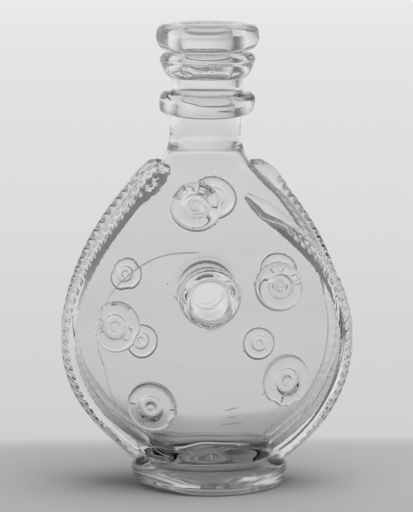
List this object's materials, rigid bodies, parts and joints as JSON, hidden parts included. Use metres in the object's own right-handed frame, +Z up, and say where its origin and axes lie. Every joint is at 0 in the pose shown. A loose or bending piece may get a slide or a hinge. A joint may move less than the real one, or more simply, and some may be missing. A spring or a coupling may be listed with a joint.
{
  "type": "annular bottle",
  "caption": "Clear blown glass ring bottle: a flattened vessel pierced by a round hole, with applied rings, foot, round seals and milled side trails.",
  "frame": {"origin": "centre of the foot's underside, on the surface the bottle stands on", "axes": "+Z up along the neck, -Y out of the front face, +X to the right seen from the front"},
  "size_m": [0.1386, 0.0748, 0.22],
  "materials": {
    "blown_glass": "fire-polished clear blown glass, faintly wavy, with seeds",
    "ring_glass": "fire-polished clear glass laid on hot, softly ridged",
    "foot_glass": "thick clear glass, wavy, worn at the tread",
    "trail_glass": "clear glass milled into close teeth",
    "seal_glass": "clear glass pressed into a dished round seal"
  },
  "bodies": {
    "root": {"bottle_body": "blown_glass", "lip_ring": "ring_glass", "middle_ring": "ring_glass", "lower_collar": "ring_glass", "foot_ring": "foot_glass", "front_left_trail": "trail_glass", "front_right_trail": "trail_glass", "back_left_trail": "trail_glass", "back_right_trail": "trail_glass", "front_seal_top": "seal_glass", "front_seal_right": "seal_glass", "front_seal_lower_right": "seal_glass", "front_seal_lower_left": "seal_glass", "front_seal_left": "seal_glass", "back_seal_top": "seal_glass", "back_seal_right": "seal_glass", "back_seal_lower_right": "seal_glass", "back_seal_lower_left": "seal_glass", "back_seal_left": "seal_glass"}
  },
  "joints": []
}
